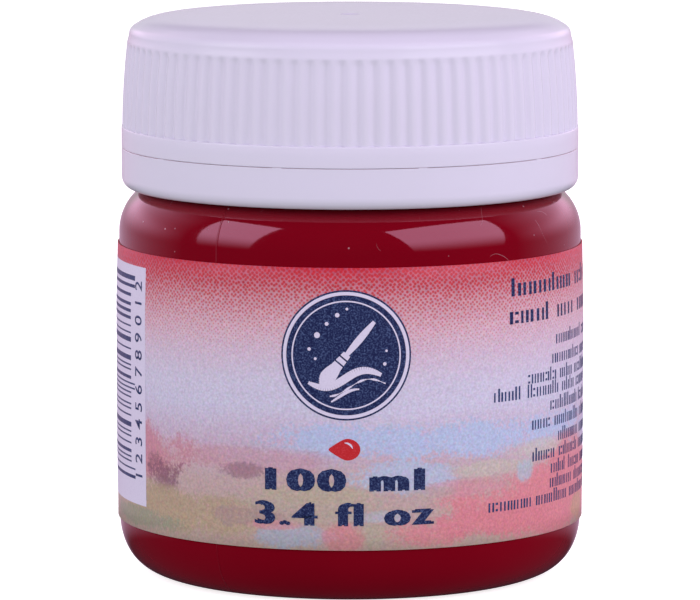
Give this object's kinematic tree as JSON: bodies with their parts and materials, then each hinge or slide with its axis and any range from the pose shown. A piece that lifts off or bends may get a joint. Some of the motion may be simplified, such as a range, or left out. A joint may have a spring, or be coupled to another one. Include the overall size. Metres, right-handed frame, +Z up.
{
  "type": "paint jar",
  "caption": "Round screw-cap jar of gouache: glossy clear body over dark red paint, printed wrap label, ribbed pale lilac cap and a separate tamper band on the neck.",
  "frame": {"origin": "centre of the flat base that the jar stands on", "axes": "+Z up along the jar's axis, -Y towards the front of the label, +X to the right seen from the front"},
  "size_m": [0.055, 0.055, 0.0657],
  "materials": {
    "clear_plastic": "clear, glossy, moulded; looks crimson from the paint behind it",
    "gouache": "wet crimson gouache",
    "printed_film": "satin printed film, watercolour wash from red to lilac, grey and rose",
    "cap_plastic": "satin moulded, pale lilac white",
    "liner_foam": "matt foam"
  },
  "bodies": {
    "jar": {"jar_body": "clear_plastic", "paint_fill": "gouache", "label": "printed_film"},
    "band": {"tamper_band": "cap_plastic"},
    "liner": {"cap_liner": "liner_foam"},
    "cap": {"screw_cap": "cap_plastic"}
  },
  "joints": [
    {"name": "liner_lift", "type": "slide", "parent": "jar", "child": "liner", "axis": [0, 0, 1], "range_m": [0, 0.0161]},
    {"name": "cap_turn", "type": "hinge", "parent": "liner", "child": "cap", "pos_m": [0, 0, 0.0503], "axis": [0, 0, 1], "range_deg": [0, 1440]},
    {"name": "band_spin", "type": "hinge", "parent": "jar", "child": "band", "pos_m": [0, 0, 0.048], "axis": [0, 0, 1], "continuous": true}
  ],
  "couplings": [
    {"joint": "liner_lift", "follows": "cap_turn", "m_per_rad": 0.00063662}
  ]
}
